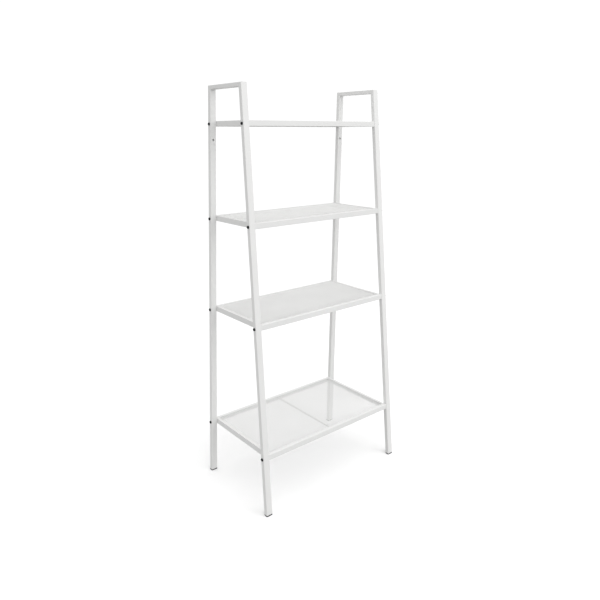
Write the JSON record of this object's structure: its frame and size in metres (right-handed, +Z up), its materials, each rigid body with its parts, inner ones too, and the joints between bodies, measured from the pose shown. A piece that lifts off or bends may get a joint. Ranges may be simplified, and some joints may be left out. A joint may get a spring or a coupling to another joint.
{
  "type": "ladder shelf",
  "caption": "Free-standing steel ladder shelf: mesh shelves with folded rims, bolted between two side frames whose front legs lean back towards the top.",
  "frame": {"origin": "on the floor, in the middle of the footprint", "axes": "+X along the shelves to the right seen from the front, +Y towards the back (wall side), +Z up"},
  "size_m": [0.6864, 0.35, 1.48],
  "materials": {
    "frame_coat": "white satin powder coat",
    "shelf_coat": "white satin powder coat",
    "mesh_coat": "white satin powder coat on expanded mesh",
    "foot_plastic": "matte moulded plastic",
    "black_steel": "black oxide",
    "zinc_steel": "zinc plated"
  },
  "bodies": {
    "root": {"left_rear_leg": "frame_coat", "left_front_leg": "frame_coat", "left_top_rail": "frame_coat", "left_rear_foot": "foot_plastic", "left_front_foot": "foot_plastic", "right_rear_leg": "frame_coat", "right_front_leg": "frame_coat", "right_top_rail": "frame_coat", "right_rear_foot": "foot_plastic", "right_front_foot": "foot_plastic", "bottom_shelf_front_rim": "shelf_coat", "bottom_shelf_rear_rim": "shelf_coat", "bottom_shelf_left_end": "shelf_coat", "bottom_shelf_right_end": "shelf_coat", "bottom_shelf_mesh": "mesh_coat", "bottom_shelf_brace": "shelf_coat", "bottom_shelf_bolts": "black_steel", "bottom_shelf_nuts": "zinc_steel", "lower_shelf_front_rim": "shelf_coat", "lower_shelf_rear_rim": "shelf_coat", "lower_shelf_left_end": "shelf_coat", "lower_shelf_right_end": "shelf_coat", "lower_shelf_mesh": "mesh_coat", "lower_shelf_brace": "shelf_coat", "lower_shelf_bolts": "black_steel", "lower_shelf_nuts": "zinc_steel", "upper_shelf_front_rim": "shelf_coat", "upper_shelf_rear_rim": "shelf_coat", "upper_shelf_left_end": "shelf_coat", "upper_shelf_right_end": "shelf_coat", "upper_shelf_mesh": "mesh_coat", "upper_shelf_brace": "shelf_coat", "upper_shelf_bolts": "black_steel", "upper_shelf_nuts": "zinc_steel", "top_shelf_front_rim": "shelf_coat", "top_shelf_rear_rim": "shelf_coat", "top_shelf_left_end": "shelf_coat", "top_shelf_right_end": "shelf_coat", "top_shelf_mesh": "mesh_coat", "top_shelf_brace": "shelf_coat", "top_shelf_bolts": "black_steel", "top_shelf_nuts": "zinc_steel"}
  },
  "joints": []
}
